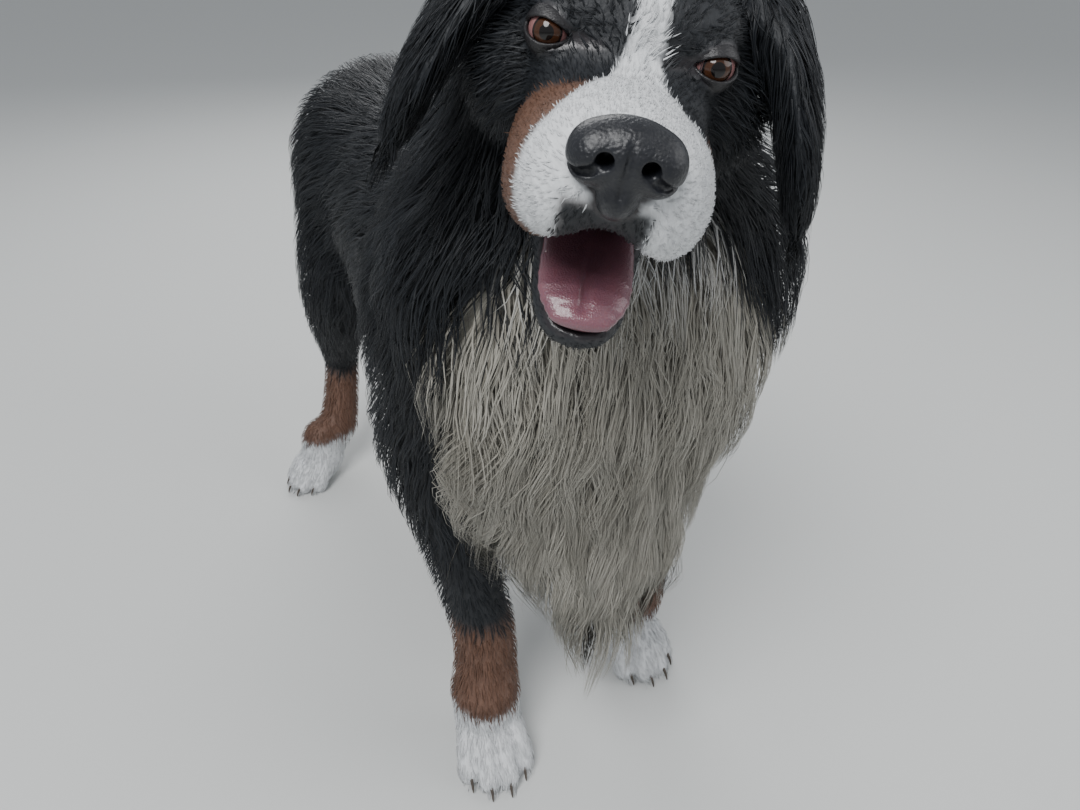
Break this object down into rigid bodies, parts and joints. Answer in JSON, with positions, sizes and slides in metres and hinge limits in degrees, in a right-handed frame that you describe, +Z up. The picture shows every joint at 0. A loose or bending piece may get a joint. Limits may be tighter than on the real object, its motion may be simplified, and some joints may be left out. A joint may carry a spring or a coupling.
{
  "type": "bernese mountain dog, standing life-size model",
  "caption": "Standing long-haired mountain dog with a hanging bushy tail, drop ears, a broad chest of long white hair, a turned head and an open mouth.",
  "frame": {"origin": "on the floor, under the middle of the part's box", "axes": "+Z up, the dog's body runs along Y with its head towards -Y, +X is the dog's left side"},
  "size_m": [0.5014, 1.1796, 0.8669],
  "materials": {
    "black_coat": "long black hair with a soft sheen",
    "white_coat": "long white hair, creamy on the chest",
    "rust_coat": "short rust-brown hair",
    "nose": "pebbled black nose leather, moist",
    "tongue": "soft wet pink",
    "eye": "dark brown, clear and wet",
    "claw": "dark horn"
  },
  "bodies": {
    "root": {"head": "black_coat", "neck": "black_coat", "trunk": "black_coat", "lower_jaw": "black_coat", "tongue": "tongue", "nose": "nose", "eye_left": "eye", "eye_right": "eye", "ear_left": "black_coat", "ear_right": "black_coat", "tail": "black_coat", "fore_leg_right": "black_coat", "fore_leg_left": "black_coat", "hind_leg_right": "rust_coat", "hind_leg_left": "rust_coat", "fore_paw_right": "white_coat", "fore_paw_left": "white_coat", "hind_paw_right": "white_coat", "hind_paw_left": "white_coat", "chest_bib": "white_coat", "claw_fore_right_1": "claw", "claw_fore_right_2": "claw", "claw_fore_right_3": "claw", "claw_fore_right_4": "claw", "claw_fore_left_1": "claw", "claw_fore_left_2": "claw", "claw_fore_left_3": "claw", "claw_fore_left_4": "claw", "claw_hind_right_1": "claw", "claw_hind_right_2": "claw", "claw_hind_right_3": "claw", "claw_hind_right_4": "claw", "claw_hind_left_1": "claw", "claw_hind_left_2": "claw", "claw_hind_left_3": "claw", "claw_hind_left_4": "claw"}
  },
  "joints": []
}
